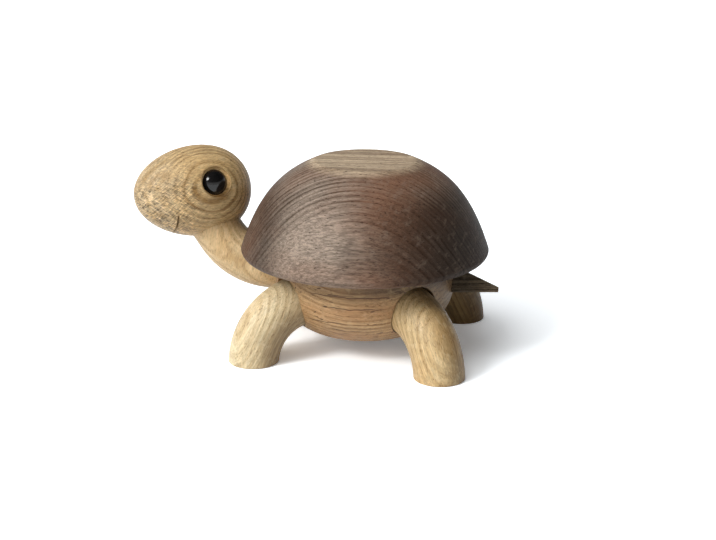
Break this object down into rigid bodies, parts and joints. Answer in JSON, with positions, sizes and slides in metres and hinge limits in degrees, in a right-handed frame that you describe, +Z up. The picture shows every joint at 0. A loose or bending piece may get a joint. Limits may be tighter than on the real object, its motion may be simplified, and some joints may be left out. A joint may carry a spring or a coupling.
{
  "type": "turtle figurine",
  "caption": "Turned wooden turtle figurine with a domed dark shell, bent round legs and neck, and an egg-shaped head that turns on the neck.",
  "frame": {"origin": "on the surface that it stands on, under the centre of the bounding box in the stored pose", "axes": "+X towards the turtle's front, +Y to its left, +Z up"},
  "size_m": [0.1484, 0.1, 0.0787],
  "materials": {
    "smoked_oak": "oiled satin, dark smoked oak",
    "body_oak": "oiled satin, mid-brown oak",
    "limb_oak": "oiled satin, pale oak",
    "neck_oak": "oiled satin, golden oak",
    "head_oak": "oiled satin, oak",
    "dowel_beech": "bare turned beech",
    "eye_black": "polished black",
    "pin_steel": "ground",
    "bush_plastic": "moulded"
  },
  "bodies": {
    "torso": {"shell": "smoked_oak", "body": "body_oak", "neck": "neck_oak", "leg_front_left": "limb_oak", "leg_front_right": "limb_oak", "leg_rear_left": "limb_oak", "leg_rear_right": "limb_oak", "tail": "smoked_oak", "leg_dowel_front_left": "dowel_beech", "leg_dowel_front_right": "dowel_beech", "leg_dowel_rear_left": "dowel_beech", "leg_dowel_rear_right": "dowel_beech", "neck_dowel": "dowel_beech", "tail_dowel": "dowel_beech", "shell_dowel": "dowel_beech", "head_pivot_pin": "pin_steel"},
    "head": {"head": "head_oak", "eye_left": "eye_black", "eye_right": "eye_black", "head_pivot_bush": "bush_plastic"}
  },
  "joints": [
    {"name": "head_turn", "type": "hinge", "parent": "torso", "child": "head", "pos_m": [0.05194, 0, 0.06], "axis": [0.5592, 0, 0.829], "continuous": true}
  ]
}
